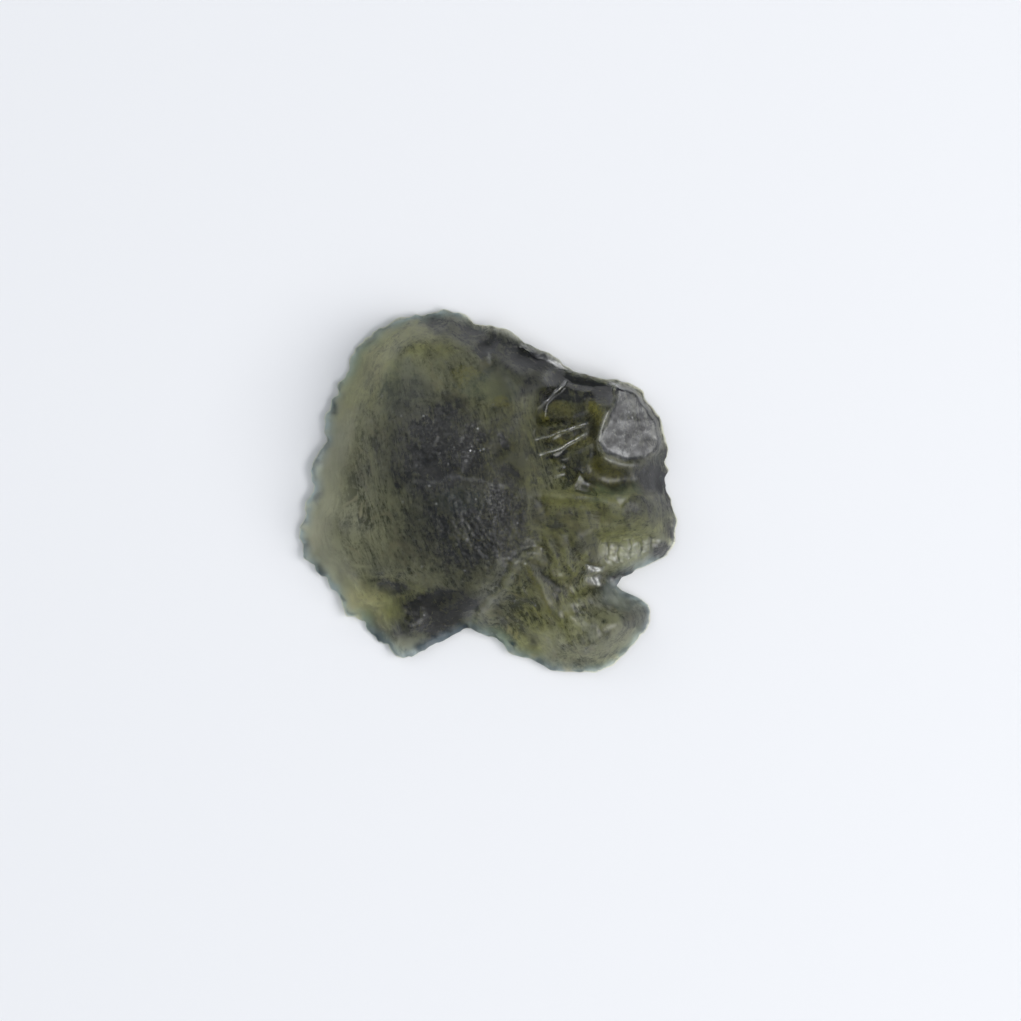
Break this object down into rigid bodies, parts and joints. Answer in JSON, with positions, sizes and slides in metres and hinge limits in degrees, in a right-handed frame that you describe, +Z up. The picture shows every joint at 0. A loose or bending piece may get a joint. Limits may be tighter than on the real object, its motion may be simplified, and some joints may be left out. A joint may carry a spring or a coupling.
{
  "type": "moldavite stone",
  "caption": "Small flat lobed piece of natural olive-green glass with a scalloped thin rim, a rough dark core, a fracture hollow and two notches; a loose stone to lay down, hold or set.",
  "frame": {"origin": "middle of the stone's box in plan, on the level of the flat spot underneath", "axes": "+Z up out of the sculptured upper side, +X along the longest extent toward the notched lobe, +Y toward the top of the outline as seen from above"},
  "size_m": [0.016, 0.0154, 0.0044],
  "materials": {
    "green_glass": "translucent olive-green natural glass, etched and finely pitted, glossy in its fracture hollow"
  },
  "bodies": {
    "root": {"moldavite": "green_glass"}
  },
  "joints": []
}
